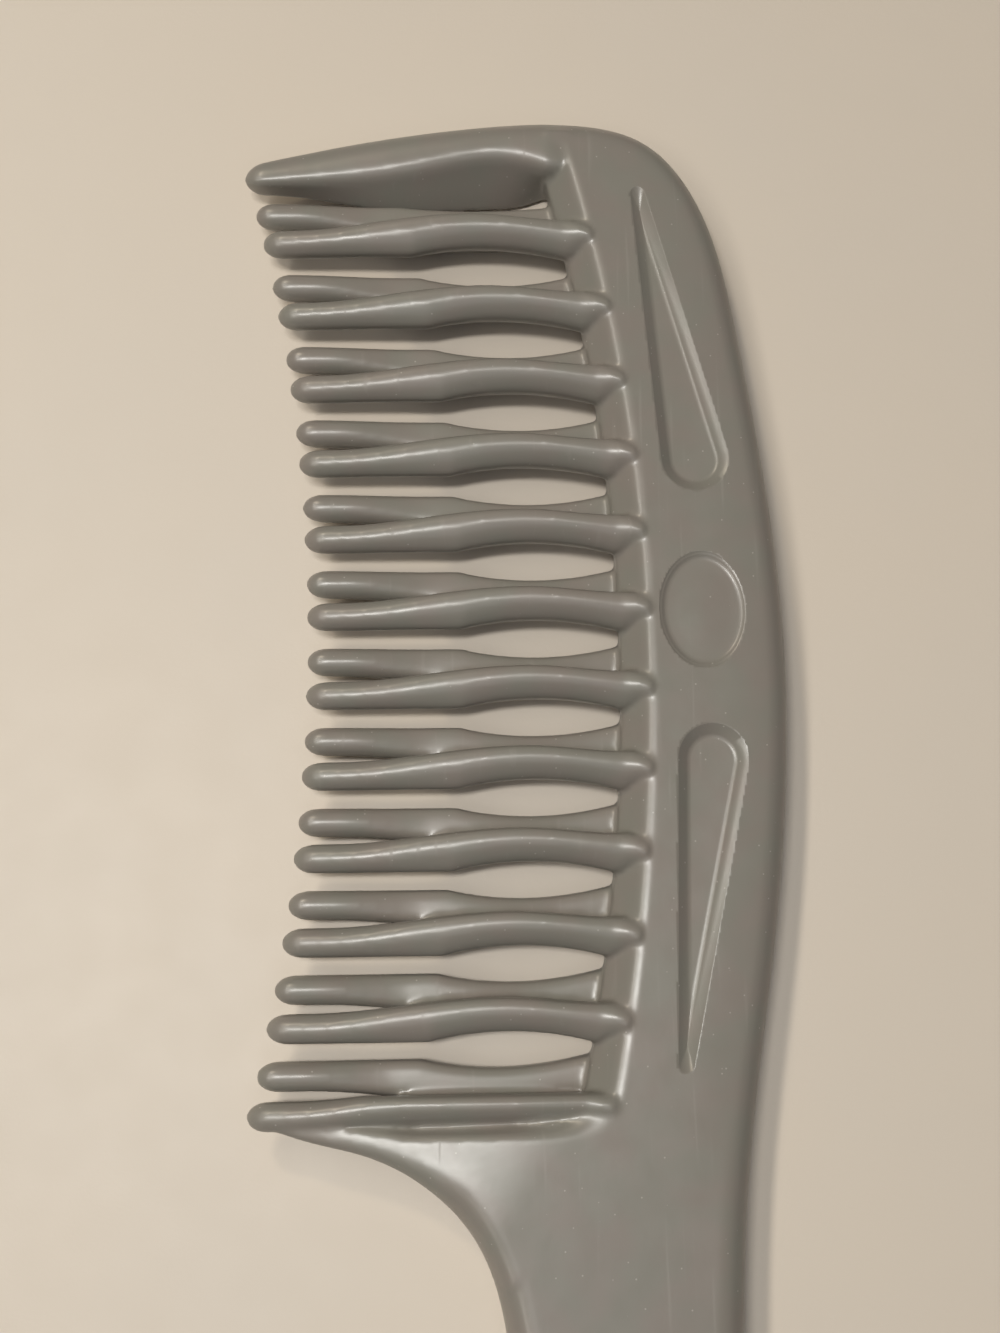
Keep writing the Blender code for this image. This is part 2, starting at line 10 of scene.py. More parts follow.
import bmesh
import bpy
import numpy as np
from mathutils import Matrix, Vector

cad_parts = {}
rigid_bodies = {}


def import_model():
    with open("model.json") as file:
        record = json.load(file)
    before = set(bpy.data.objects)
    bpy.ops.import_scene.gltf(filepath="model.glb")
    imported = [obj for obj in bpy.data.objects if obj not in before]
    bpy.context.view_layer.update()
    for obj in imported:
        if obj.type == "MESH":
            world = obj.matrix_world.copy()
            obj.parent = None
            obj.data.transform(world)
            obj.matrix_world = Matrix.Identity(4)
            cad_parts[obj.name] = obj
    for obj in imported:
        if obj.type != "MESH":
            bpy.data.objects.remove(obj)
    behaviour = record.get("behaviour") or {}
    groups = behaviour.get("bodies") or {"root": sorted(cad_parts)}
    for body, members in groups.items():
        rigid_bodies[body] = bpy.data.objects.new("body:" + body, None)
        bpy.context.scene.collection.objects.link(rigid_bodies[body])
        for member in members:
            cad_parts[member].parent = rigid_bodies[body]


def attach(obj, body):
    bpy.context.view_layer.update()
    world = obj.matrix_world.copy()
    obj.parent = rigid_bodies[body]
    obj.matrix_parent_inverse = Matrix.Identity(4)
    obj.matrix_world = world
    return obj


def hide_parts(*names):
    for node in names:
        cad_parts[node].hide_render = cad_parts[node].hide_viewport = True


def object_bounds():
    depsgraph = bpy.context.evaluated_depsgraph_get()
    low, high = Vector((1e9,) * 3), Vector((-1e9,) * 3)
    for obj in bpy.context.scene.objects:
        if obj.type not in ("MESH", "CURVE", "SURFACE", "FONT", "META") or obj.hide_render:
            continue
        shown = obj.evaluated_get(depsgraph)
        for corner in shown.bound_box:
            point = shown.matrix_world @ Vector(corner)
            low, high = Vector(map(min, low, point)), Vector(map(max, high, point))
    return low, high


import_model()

CAD_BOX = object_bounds()

# Tooth pattern: pairs of a front and a rear tooth, each the other turned over
PITCH = 0.0092
FRONT_TEETH = 11
PAIR_SPREAD = 0.00205
TOOTH_LENGTH = 0.0360

# Gap between pairs: a straight slot from the tips, then an eye, flatter beside the toe guard
SLOT_WIDTH = 0.0018
SLOT_LENGTH = 0.0175
SLOT_EASE = 0.0012
EYE_BULGE = 0.00115
EYE_END_WIDTH = 0.0012
TOE_EYE_BULGE = 0.0005

# Tooth: its tip, of which the first ring keeps a small share, and its crest and flanks
TIP_WIDTH = 0.00325
TIP_TAPER = 0.0023
TIP_HALF_HEIGHT = 0.00155
TIP_RISE = 0.00045
TIP_LEAST = 0.05
CREST_AT_TIP = 0.0020
CREST_AT_ROOT = 0.00425
CREST_REACH = 0.0330
CREST_LEAN = 0.22
FLANK_STRAIGHT = 0.35
TOP_FLAT = 0.38

# Crossing of a pair: where its teeth meet, are fused, and reach furthest over each other
CROSSING_START = 0.0050
CROSSING_DONE = 0.0149
CROSSING_WIDEST = 0.0251
CROSSING_OVERLAP = 0.00105
CROSSING_AT_ROOT = 0.00030
FUSED = 0.0002

# Nose of each tooth's root, over the bevel and a little proud of the face
NOSE_REACH = 0.0034
NOSE_HALF_WIDTH = 0.0016
NOSE_PROUD = 0.00040
NOSE_FULL = 0.86

# Head and spine; a rib that runs aslant gets a wider bevel, up to 1 / SLANT_LIMIT times
ARC_Y = -0.0038
EDGE_X = -0.0110
EDGE_RADIUS = 0.230
TIP_RADIUS = 0.223
THICKNESS = 0.0084
SPINE_WIDTH = 0.0190
EDGE_WALL = 0.0023
BEVEL_WIDTH = 0.00276
SLANT_LIMIT = 0.4
BROW_ROUND = 0.0009
EDGE_ROUND = 0.0032
FACE_CROWN = 0.0002
CROWN_FADE = 0.020

# Outer side of the toe: IN is from the tip or the spine's edges, RISE and DROP from the last tooth
TOE_TIP_RISE = 0.0009
TOE_SWELL_IN = 0.0114
TOE_SWELL_RISE = 0.0036
TOE_BACK_IN = 0.0100
TOE_BACK_RISE = 0.0059
TOE_CROWN_IN = 0.0027
TOE_CROWN_RISE = 0.0064
TOE_TURN_IN = 0.0123
TOE_TURN_RISE = 0.0042
SHOULDER_IN = 0.0073
SHOULDER_DROP = 0.0052
ARM_IN = 0.0040
ARM_DROP = 0.0192
FOREARM_IN = 0.0029
FOREARM_RISE = 0.0169

# Toe guard: its leaning wall with brow and foot, its ridge, and its edges; a SHARE is of its
# width or of half its height
TOE_DROP = 0.00190
TOE_CORNER_DROP = 0.0007
TOE_WALL_LEAN = 0.0020
TOE_BROW_LEAN = 0.0023
TOE_BROW_BEND = 2.9
TOE_FOOT_LEAN = 0.0011
TOE_FOOT_BEND = 5
TOE_RIDGE_SHARE = 0.30
TOE_LIP_ROUND = 0.0006
TOE_LIP_SHARE = 0.4
TOE_EDGE_SHARE = 0.7
TOE_TIP_EDGE_SHARE = 0.55
TOE_BACK_EDGE_SHARE = 0.8
TOE_SINK = 0.0004
TOE_ROOT = 0.0045
GUARD_TIP_HALF = 0.0016

# Heel guard: its ridge, the groove beside the ridge, and the web between the groove and the neck
HEEL_CORNER_DROP = 0.0007
RIDGE_REACH = 0.0030
RIDGE_EVEN = 0.020
GROOVE_FLOOR = 0.0014
GROOVE_EDGE = 0.0028
GROOVE_DEPTH = 0.0027
GROOVE_ROOM = 2.2
GROOVE_LIP_SHARE = 0.25
WEB_START = 0.0012
WEB_PAST_CORNER = 0.0070
WEB_FAN = 0.85
WEB_EDGE_SHARE = 0.25
WEB_EDGE_HEIGHT = 0.8
WEB_LEAN = 0.0022

# Where the groove and the web's lean grow and fade, and over how much, as shares of the way in
GROOVE_GROWS = (0.22, 0.30)
GROOVE_FADES = (1.10, 0.35)
WEB_LEAN_GROWS = (0.12, 0.40)
WEB_LEAN_FADES = (1.10, 0.15)

# Lower side of the heel guard, from its tip to the neck
HEEL_TIP_DROP = 0.0003
HEEL_BELLY_IN = 0.0068
HEEL_BELLY_DROP = 0.0027
HEEL_SWEEP_IN = 0.0132
HEEL_SWEEP_DROP = 0.0044
HEEL_BEND_OUT = 0.0079
HEEL_BEND_DROP = 0.0080

# Neck, where the head becomes the handle
NECK_CUT = 0.0148
NECK_WIDTH = 0.0252
NECK_SHOULDER_OUT = 0.0010
NECK_SHOULDER_RISE = 0.0050
NECK_OUTER_DROP = 0.0085
NECK_FLARE_OUT = 0.0031
NECK_FLARE_RISE = 0.0016
NECK_TURN_OUT = 0.0006
NECK_TURN_DROP = 0.0045
NECK_FOOT_IN = 0.0008
NECK_FOOT_DROP = 0.0150
NECK_OVERLAP = 0.0036
NECK_FOOT_OVERLAP = 0.0060
NECK_RIM = 0.0015

# Handle
HANDLE_LENGTH = 0.0880
HANDLE_X = -0.0128
HANDLE_END_X = -0.0138
WAIST_AT = 0.0380
WAIST_WIDTH = 0.0232
SWELL_PLACE = 0.55
SWELL_WIDTH = 0.0257
END_WIDTH = 0.0272
HANG_HOLE_RADIUS = 0.0040
HANG_HOLE_INSET = 0.0120
HANG_HOLE_ROUND = 0.0009

# Thumb scoops and the plain oval between them
SCOOP_INSET = 0.0101
SCOOP_NEAR = 0.0177
SCOOP_FAR = 0.0509
SCOOP_MIDDLE_Y = 0.0005
SCOOP_ROUND_RADIUS = 0.0040
SCOOP_POINT_RADIUS = 0.00085
SCOOP_LEAST_RADIUS = 0.00002
SCOOP_RIM = 0.00020
SCOOP_FOOT = 0.0010
SCOOP_SLOPE = math.radians(40)
SCOOP_DEPTH = 0.0011
OVAL_INSET = 0.0093
OVAL_HALF_WIDTH = 0.0049
OVAL_HALF_HEIGHT = 0.0066

# The oval's (inset, depth): from over its soft rim, down, and up to its slightly domed floor
OVAL_PROFILE = [
    (-0.0004, -0.0004), (-0.0002, 0.00001), (0, 0.00004), (0.0002, 0.00018), (0.0004, 0.00032),
    (0.0006, 0.00038), (0.0009, 0.0004), (0.0020, 0.00037), (0.0030, 0.00033), (0.0040, 0.00031),
    (0.0046, 0.0003),
]

# How far the cutting tools reach past the faces that they cut
TOOL_REACH = 0.0006

# Parting into pieces: stubs of the teeth on the spine, and how the rows part: upright, then lying
ROOT_STUB = 0.00045
ROWS_PART = 0.0090
ROWS_LIE = math.radians(18)
HEEL_ROWS_LIE = math.radians(60)
WEB_FOOT_RISE = 0.0015
TOE_GAP_Y = 0.05215
TOE_GAP_RISE = 0.0011
TOE_GAP_BEND = 0.0080

# Skin: size of its cells, how many passes round its inner corners, and how near a parting acts
CELL = 0.00028
FILLET_PASSES = 10
PARTING_NEAR = 2.5 * CELL

# Steps along the forms and round their edges, and halvings in a search along an outline
SEARCH_STEPS = 40
TIP_STEPS = 8
TOOTH_STEPS = 60
NOSE_STEPS = 12
NOSE_END_STEPS = 6
SECTION_POINTS = 32
FAN_STEPS = 40
HEAD_STEPS = 70
NECK_STEPS = 30
WEB_STEPS = 76
GRIP_STEPS = 120
GRIP_END_STEPS = 60
CORNER_STEPS = 4
EDGE_STEPS = 8
OVAL_EDGE_STEPS = 10
HOLE_EDGE_STEPS = 6
SCOOP_ROUND_STEPS = 48
SCOOP_POINT_STEPS = 14
SCOOP_RIM_STEPS = 5
CIRCLE_STEPS = 96

# Table top, from its middle to its sides
TABLE_REACH = 3

# Camera: place, turn in degrees, and lens in millimetres, as fitted to the photograph
CAMERA_PLACE = (-0.035403, -0.042728, 0.184145)
CAMERA_TURN = (11.647, -3.164, -0.917)
CAMERA_LENS = 43.211
CAMERA_SENSOR = 36
CAMERA_NEAR = 0.001

HALF = THICKNESS / 2
HALF_HEAD = PITCH * (FRONT_TEETH + 1) / 2
HEEL = FRONT_TEETH + 1
NECK_Y = -HALF_HEAD - NECK_CUT
END_Y = NECK_Y - HANDLE_LENGTH
END_RADIUS = END_WIDTH / 2
END_CENTRE_Y = END_Y + END_RADIUS


def sag(radius, y):
    return radius - math.sqrt(radius * radius - (y - ARC_Y) ** 2)


def edge_x(y):
    """The spine's inner edge, between the roots of the teeth."""
    return EDGE_X - sag(EDGE_RADIUS, y)


def edge_normal(y):
    """Direction square to the inner edge, into the spine."""
    side = (y - ARC_Y) / EDGE_RADIUS
    return Vector((math.sqrt(1 - side * side), side, 0))


def tip_x(y):
    """The line of the tooth tips."""
    return EDGE_X - TOOTH_LENGTH - sag(TIP_RADIUS, y)


def pair_y(pair):
    """Centre line of a pair; pair 0 is in the toe guard, and the last one in the heel guard."""
    return HALF_HEAD - pair * PITCH + PAIR_SPREAD


def blend(low, high, amount):
    return low + (high - low) * amount


def even(start, end, count):
    """The ends of count equal steps from start to end."""
    return [blend(start, end, i / count) for i in range(1, count + 1)]


def span(start, end, count):
    """The start, and the ends of count equal steps from there to the end."""
    return [start] + even(start, end, count)


def ease(amount):
    """A smooth step from 0 to 1."""
    amount = min(max(amount, 0.0), 1.0)
    return amount * amount * (3 - 2 * amount)


def swelling(share, grows, fades):
    """1 along a stretch and 0 beyond it; grows and fades are (where, over how much)."""
    return ease((share - grows[0]) / grows[1]) * ease((fades[0] - share) / fades[1])


def bullet(distance, length):
    """The rounding of a tip: 0 at its end, 1 where it is full."""
    left = 1 - min(max(distance / length, 0.0), 1.0)
    return math.sqrt(1 - left * left)


def smooth_curve(points):
    """A natural cubic spline through the points, as a function of 0 to len(points) - 1."""
    nodes = np.array(points)
    count = len(nodes)
    steps = np.linalg.norm(np.diff(nodes, axis=0), axis=1)
    system = np.eye(count)
    bends = np.zeros((count, 2))
    for i in range(1, count - 1):
        system[i, i - 1:i + 2] = steps[i - 1], 2 * (steps[i - 1] + steps[i]), steps[i]
        rise = (nodes[i + 1] - nodes[i]) / steps[i] - (nodes[i] - nodes[i - 1]) / steps[i - 1]
        bends[i] = 6 * rise
    bends = np.linalg.solve(system, bends)

    def at(place):
        i = min(int(place), count - 2)
        after = place - i
        before = 1 - after
        pull = (before ** 3 - before) * bends[i] + (after ** 3 - after) * bends[i + 1]
        return before * nodes[i] + after * nodes[i + 1] + pull * steps[i] ** 2 / 6

    return at


def place_where(curve, axis, value, low, high):
    """The place on a curve, between low and high, where one coordinate has a value."""
    rising = curve(high)[axis] > curve(low)[axis]
    for _ in range(SEARCH_STEPS):
        middle = (low + high) / 2
        if (curve(middle)[axis] < value) == rising:
            low = middle
        else:
            high = middle
    return (low + high) / 2


def grip_points(side):
    """Waist, swell and end of one side of the grip; side is 1 on the spine's side, else -1."""
    waist_y = NECK_Y - WAIST_AT
    swell_x = blend(HANDLE_X, HANDLE_END_X, SWELL_PLACE)
    return [
        (HANDLE_X + side * WAIST_WIDTH / 2, waist_y),
        (swell_x + side * SWELL_WIDTH / 2, blend(waist_y, END_CENTRE_Y, SWELL_PLACE)),
        (HANDLE_END_X + side * END_RADIUS, END_CENTRE_Y),
    ]


def outer_points():
    """Toe tip, toe, corner, outer edge of the spine and neck, down to the handle's round end."""
    outer = EDGE_X + SPINE_WIDTH
    toe = tip_x(HALF_HEAD)
    corner = edge_x(HALF_HEAD)
    neck = HANDLE_X + NECK_WIDTH / 2
    return [
        (toe, HALF_HEAD + TOE_TIP_RISE),
        (toe + TOE_SWELL_IN, HALF_HEAD + TOE_SWELL_RISE),
        (corner - TOE_BACK_IN, HALF_HEAD + TOE_BACK_RISE),
        (corner + TOE_CROWN_IN, HALF_HEAD + TOE_CROWN_RISE),
        (corner + TOE_TURN_IN, HALF_HEAD + TOE_TURN_RISE),
        (outer - SHOULDER_IN, HALF_HEAD - SHOULDER_DROP),
        (outer - ARM_IN, HALF_HEAD - ARM_DROP),
        (outer, ARC_Y),
        (outer - FOREARM_IN, FOREARM_RISE - HALF_HEAD),
        (neck + NECK_SHOULDER_OUT, NECK_Y + NECK_SHOULDER_RISE),
        (neck, NECK_Y - NECK_OUTER_DROP),
    ] + grip_points(1)


def lower_points():
    """Lower side of the heel guard, from its tip down to the handle's round end."""
    tip = tip_x(-HALF_HEAD)
    left = HANDLE_X - NECK_WIDTH / 2
    return [
        (tip, -HALF_HEAD - HEEL_TIP_DROP),
        (tip + HEEL_BELLY_IN, -HALF_HEAD - HEEL_BELLY_DROP),
        (tip + HEEL_SWEEP_IN, -HALF_HEAD - HEEL_SWEEP_DROP),
        (left - HEEL_BEND_OUT, -HALF_HEAD - HEEL_BEND_DROP),
        (left - NECK_FLARE_OUT, NECK_Y + NECK_FLARE_RISE),
        (left - NECK_TURN_OUT, NECK_Y - NECK_TURN_DROP),
        (left + NECK_FOOT_IN, NECK_Y - NECK_FOOT_DROP),
    ] + grip_points(-1)


# The outlines as curves, with the numbers of the points that a search or a form starts from
OUTER = smooth_curve(outer_points())
OUTER_CROWN = 3
OUTER_ARM = 6
OUTER_LAST = len(outer_points()) - 1
LOWER = smooth_curve(lower_points())
LOWER_BELLY = 1
LOWER_LAST = len(lower_points()) - 1


def outer_place_x(x):
    """Where the toe's outer side passes x, on its way up from the tip."""
    return place_where(OUTER, 0, x, 0, OUTER_CROWN + 1)


def outer_place_y(y):
    """Where the outer edge of the spine or handle passes y."""
    return place_where(OUTER, 1, y, OUTER_ARM - 1, OUTER_LAST)


def lower_place_y(y):
    """Where the lower side of the heel guard or handle passes y."""
    return place_where(LOWER, 1, y, LOWER_BELLY, LOWER_LAST)


def toe_corner():
    y = HALF_HEAD - TOE_CORNER_DROP
    return edge_x(y), y


def heel_corner():
    y = pair_y(HEEL) - HEEL_CORNER_DROP
    return edge_x(y), y


# Sections and skins

def stretch(rings):
    """Spin a closed tube straight along, with a step for each ring, and move it to the rings."""
    tube = bmesh.new()
    loop = bmesh.ops.create_circle(tube, segments=len(rings[0]), radius=1)["verts"]
    for number, vert in enumerate(loop):
        vert.co = (0, number, 0)
    bmesh.ops.spin(tube, geom=tube.verts[:] + tube.edges[:], cent=(0, 0, 0), axis=(1, 0, 0),
                   dvec=(1, 0, 0), angle=0, steps=len(rings) - 1)
    for vert in tube.verts:
        vert.co = rings[round(vert.co.x)][round(vert.co.y)]
    bmesh.ops.holes_fill(tube, edges=[edge for edge in tube.edges if edge.is_boundary], sides=0)
    bmesh.ops.recalc_face_normals(tube, faces=tube.faces)
    return tube


def gather(name, forms):
    """Put bmeshes with their middle plane at z = 0 into one object that lies on its back."""
    whole = bmesh.new()
    for form in forms:
        mesh = bpy.data.meshes.new("form")
        form.to_mesh(mesh)
        form.free()
        whole.from_mesh(mesh)
        bpy.data.meshes.remove(mesh)
    bmesh.ops.translate(whole, verts=whole.verts, vec=(0, 0, HALF))
    return to_object(name, whole)


def to_object(name, shape):
    """A new object in the scene that has a bmesh's shape."""
    mesh = bpy.data.meshes.new(name)
    shape.to_mesh(mesh)
    shape.free()
    thing = bpy.data.objects.new(name, mesh)
    bpy.context.scene.collection.objects.link(thing)
    return thing


def arc(centre_out, centre_up, radius, start, end, steps):
    """Points of an arc in a section; angles go from +out to +up."""
    return [(centre_out + radius * math.cos(angle), centre_up + radius * math.sin(angle))
            for angle in span(start, end, steps)]


def round_edge(reach, half, radius, crown=0):
    """The rounded outer edge of a section, from its face, lowered by a crown, to its back."""
    front = arc(reach - radius, half - crown - radius, radius, math.pi / 2, 0, EDGE_STEPS)
    return front + [(out, -up) for out, up in reversed(front)]


def crowned(near, reach, y):
    """The outer parts of both faces, which fall off softly on the head, and their round edge."""
    crown = FACE_CROWN * swelling(y, (NECK_Y, CROWN_FADE), (toe_corner()[1], CROWN_FADE))
    middle = (near + reach) / 2
    front = [(blend(middle, reach - EDGE_ROUND, share), HALF - crown * share * share)
             for share in span(0, 1, EDGE_STEPS)[:-1]]
    back = [(out, -up) for out, up in reversed(front)]
    return front + round_edge(reach, HALF, EDGE_ROUND, crown) + back


def round_corner(before, corner, after, cut):
    """A corner of a section, rounded off from a distance cut to each side."""
    before, corner, after = Vector(before), Vector(corner), Vector(after)
    start = corner + (before - corner).normalized() * cut
    end = corner + (after - corner).normalized() * cut
    return [tuple(start.lerp(corner, share).lerp(corner.lerp(end, share), share))
            for share in span(0, 1, CORNER_STEPS)]


def stand(near, far, section):
    """Stand a section of (out, up) points on the line between two plan points."""
    near = Vector(near)
    way = (Vector(far) - near).normalized()
    return [(near.x + way.x * out, near.y + way.y * out, up) for out, up in section]


# Teeth

def outer_side(along, bulge=EYE_BULGE):
    """Distance from the pair's centre line to a tooth's outer side: a slot, then an eye."""
    slot = (PITCH - SLOT_WIDTH) / 2
    end = (PITCH - EYE_END_WIDTH) / 2
    eye = min(max(along - SLOT_LENGTH, 0) / (TOOTH_LENGTH - SLOT_LENGTH), 1)
    arch = bulge * 4 * eye * (1 - eye) * ease((along - SLOT_LENGTH) / SLOT_EASE)
    return blend(slot, end, eye) - arch


def inner_side(along):
    """How far a tooth reaches past the pair's centre line, over its partner."""
    if along < CROSSING_WIDEST:
        tip = TIP_WIDTH - outer_side(0)
        share = (along - CROSSING_START) / (CROSSING_WIDEST - CROSSING_START)
        return blend(tip, CROSSING_OVERLAP, ease(share))
    share = (along - CROSSING_WIDEST) / (TOOTH_LENGTH - CROSSING_WIDEST)
    return blend(CROSSING_OVERLAP, CROSSING_AT_ROOT, ease(share))


def sides(pair, row, along):
    """Outer and inner side of a tooth.

    The heel guard's ridge is straight and stays on its side of the pair's centre line. The first
    rear tooth, beside the toe guard, is straighter than the others.
    """
    inner = inner_side(along)
    if pair == HEEL and row == 1:
        return blend(outer_side(0), RIDGE_REACH, ease(along / RIDGE_EVEN)), min(inner, 0)
    if pair == 1 and row == -1:
        return outer_side(along, TOE_EYE_BULGE), inner
    return outer_side(along), inner


def crest(along):
    """Height of a tooth's crest, which rises fast from the tip and is level at the root."""
    left = 1 - min(along / CREST_REACH, 1)
    return blend(CREST_AT_TIP, CREST_AT_ROOT, 1 - left * left)


def underside(along):
    """Bottom of a front tooth: below the middle plane at its tip, then fused to its partner."""
    lifted = ease((along - CROSSING_START) / (CROSSING_DONE - CROSSING_START))
    return blend(TIP_RISE - TIP_HALF_HEIGHT, -FUSED / 2, lifted)


def dome(outer, inner, top, bottom, square, skew):
    """Section of a tooth as (across, up) points: flatter below when square.

    When skew, its top is flatter and nearer to the inner side, over a straighter outer flank.
    """
    centre = (outer - inner) / 2
    half_width = (outer + inner) / 2
    middle = (top + bottom) / 2
    half_height = (top - bottom) / 2
    points = []
    for i in range(SECTION_POINTS):
        angle = math.tau * (i + 0.5) / SECTION_POINTS
        out, up = math.cos(angle), math.sin(angle)
        power, lean = 1 - square / 2, 0
        if up > 0:
            power = 1 + skew * (FLANK_STRAIGHT if out > 0 else -TOP_FLAT)
            lean = skew * CREST_LEAN
        across = math.copysign(abs(out) ** power, out)
        across += lean * (abs(across) - 1)
        up = math.copysign(abs(up) ** power, up)
        points.append((centre + half_width * across, middle + half_height * up))
    return points


def tip_steps():
    """Distances from a tip over its rounded end, closest together at the tip."""
    return [TIP_TAPER * (1 - math.cos(math.pi / 2 * share)) for share in span(0, 1, TIP_STEPS)]


def tooth_rings(pair, row):
    """Rings of a tooth from its tip to the wall; row is 1 in front and -1 at the rear."""
    tip = tip_x(pair_y(pair) - row * PAIR_SPREAD)
    rings = []
    for along in tip_steps() + even(TIP_TAPER, TOOTH_LENGTH, TOOTH_STEPS):
        size = max(bullet(along, TIP_TAPER), TIP_LEAST)
        square = ease((along - CROSSING_START) / (SLOT_LENGTH - CROSSING_START))
        outer, inner = sides(pair, row, along)
        section = dome(outer, inner, crest(along), underside(along), square, square)
        ring = []
        for across, up in section:
            y = pair_y(pair) - row * blend(PAIR_SPREAD, across, size)
            x = blend(tip, edge_x(y), along / TOOTH_LENGTH)
            ring.append((x, y, row * blend(TIP_RISE, up, size)))
        rings.append(ring)
    return rings


def nose_rings(pair, row):
    """Rings of a tooth's root: over the bevel and onto the face, where it ends bluntly."""
    wide, lap = sides(pair, row, TOOTH_LENGTH)
    middle = (wide - lap) / 2
    blunt = [1 - (1 - NOSE_FULL) * (1 - math.sin(math.pi / 2 * share))
             for share in even(0, 1, NOSE_END_STEPS)]
    rings = []
    for share in even(0, NOSE_FULL, NOSE_STEPS) + blunt:
        swing = math.sin(math.pi / 2 * min(share / NOSE_FULL, 1))
        closed = max(bullet(1 - share, 1 - NOSE_FULL), TIP_LEAST)
        half_width = NOSE_HALF_WIDTH * closed
        outer = blend(wide, middle + half_width, swing)
        inner = blend(lap, half_width - middle, min(share / NOSE_FULL, 1) ** 3)
        top = blend(CREST_AT_ROOT, HALF + NOSE_PROUD, swing) - (1 - closed) * 2 * NOSE_PROUD
        ring = []
        for across, up in dome(outer, inner, top, -FUSED / 2, 1, 1 - share):
            y = pair_y(pair) - row * across
            ring.append((edge_x(y) + share * NOSE_REACH, y, row * up))
        rings.append(ring)
    return rings


# Head

def spine_section(reach, bevel, y):
    """Section from the inner edge outwards: wall, bevel with a rounded brow, face, round edge."""
    wall = (0, EDGE_WALL / 2)
    brow = (bevel, HALF)
    front = [wall] + round_corner(wall, brow, (reach, HALF), BROW_ROUND)
    return front + crowned(bevel, reach, y) + [(out, -up) for out, up in reversed(front)]


def spine_rings():
    """Ribs that fan round the toe's corner, cross the head, and pass the heel into the neck."""
    x, y = toe_corner()
    start = outer_place_x(x)
    arm_y = OUTER(OUTER_ARM)[1]
    ribs = []
    for share in span(0, 1, FAN_STEPS):
        near_y = blend(y, arm_y, share)
        ribs.append(((edge_x(near_y), near_y), OUTER(blend(start, OUTER_ARM, share))))
    for near_y in even(arm_y, heel_corner()[1], HEAD_STEPS):
        ribs.append(((edge_x(near_y), near_y), (OUTER(outer_place_y(near_y))[0], near_y)))
    rings = []
    for near, far in ribs:
        way = Vector(far) - Vector(near)
        square = max(way.normalized().dot(edge_normal(near[1]).xy), SLANT_LIMIT)
        bevel = min(BEVEL_WIDTH / square, way.length - EDGE_ROUND - BROW_ROUND)
        rings.append(stand(near, far, spine_section(way.length, bevel, near[1])))
    return rings


def neck_rings():
    """Full ribs across the neck, beside the heel guard and a little way down the handle."""
    corner_x, corner_y = heel_corner()
    foot = LOWER(lower_place_y(NECK_Y))[0] + NECK_FOOT_OVERLAP
    rings = []
    for y in span(corner_y + NECK_RIM, NECK_Y - NECK_OVERLAP, NECK_STEPS):
        share = min((corner_y - y) / (corner_y - NECK_Y), 1)
        near = (blend(corner_x + NECK_OVERLAP, foot, share), y)
        far = (OUTER(outer_place_y(y))[0], y)
        reach = far[0] - near[0]
        inner = corner_x + BEVEL_WIDTH - near[0]
        rings.append(stand(near, far, [(0, HALF)] + crowned(inner, reach, y) + [(0, -HALF)]))
    return rings


def oval_edge(outline, half, wide, tall):
    """The outer side of the toe guard: a long oval in front, a short round behind."""
    short = min(wide, TOE_BACK_EDGE_SHARE * half)
    points = [(outline + wide * (math.cos(angle) - 1), half + tall * (math.sin(angle) - 1))
              for angle in span(math.pi / 2, 0, OVAL_EDGE_STEPS)]
    return points + arc(outline - short, short - half, short, 0, -math.pi / 2, EDGE_STEPS)


def toe_rings():
    """The outermost tooth at the toe: a wall that leans, open to the front, and a round edge."""
    corner_x, corner_y = toe_corner()
    tip = tip_x(HALF_HEAD)
    reach = corner_x - tip
    rings = []
    for along in tip_steps() + even(TIP_TAPER, reach + TOE_ROOT, TOOTH_STEPS):
        share = min(along / reach, 1)
        outline = OUTER(outer_place_x(tip + along))[1]
        base = blend(HALF_HEAD - TOE_DROP, corner_y, share)
        half = blend(GUARD_TIP_HALF, HALF, share)
        inward = min(max((along - TIP_TAPER) / (reach - TIP_TAPER), 0), 1)
        lean = TOE_WALL_LEAN * math.sin(math.pi * ease(inward))
        open_lean = TOE_BROW_LEAN * math.sin(math.pi * inward ** TOE_BROW_BEND)
        foot_lean = lean + TOE_FOOT_LEAN * math.sin(math.pi * inward ** TOE_FOOT_BEND)
        sink = TOE_SINK * ease((along - reach) / TOE_ROOT)
        outline -= sink
        half -= sink
        width = outline - base - open_lean
        ridge = TOE_RIDGE_SHARE * width
        lip = min(TOE_LIP_ROUND, TOE_LIP_SHARE * width)
        back = (base - foot_lean, -half)
        front = (base + open_lean, half)
        section = round_corner((outline, -half), back, front, lip)
        section += round_corner(back, front, (outline, half), ridge)
        section += oval_edge(outline, half, min(TOE_EDGE_SHARE * width, EDGE_ROUND),
                             blend(TOE_TIP_EDGE_SHARE * half, EDGE_ROUND, share))
        size = max(bullet(along, TIP_TAPER), TIP_LEAST)
        middle = (base + outline) / 2
        rings.append([(tip + along, blend(middle, y, size), up * size) for y, up in section])
    return rings


